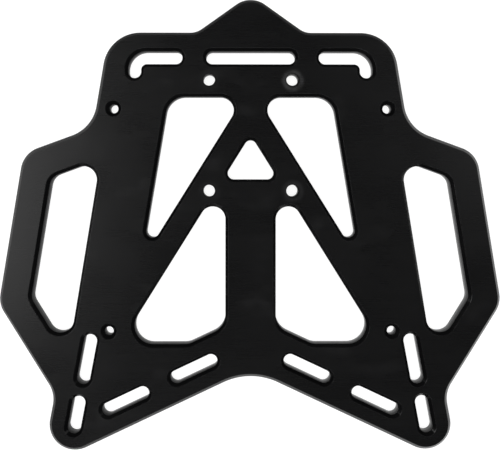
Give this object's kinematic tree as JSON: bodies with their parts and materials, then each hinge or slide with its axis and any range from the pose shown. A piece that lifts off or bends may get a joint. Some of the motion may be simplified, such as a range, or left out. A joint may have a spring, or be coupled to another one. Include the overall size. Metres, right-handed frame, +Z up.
{
  "type": "motorcycle luggage rack",
  "caption": "Flat machined luggage rack plate for a motorcycle tail, with hand grip slots, open windows, strap slots and bolt holes.",
  "frame": {"origin": "middle of the plate's length and width, on its underside", "axes": "X runs across the machine, +Y points forward to the nose, +Z is up out of the top face"},
  "size_m": [0.3614, 0.325, 0.01],
  "materials": {
    "black_anodised_aluminium": "satin black anodised, finely brushed across the plate"
  },
  "bodies": {
    "root": {"rack_plate": "black_anodised_aluminium"}
  },
  "joints": []
}
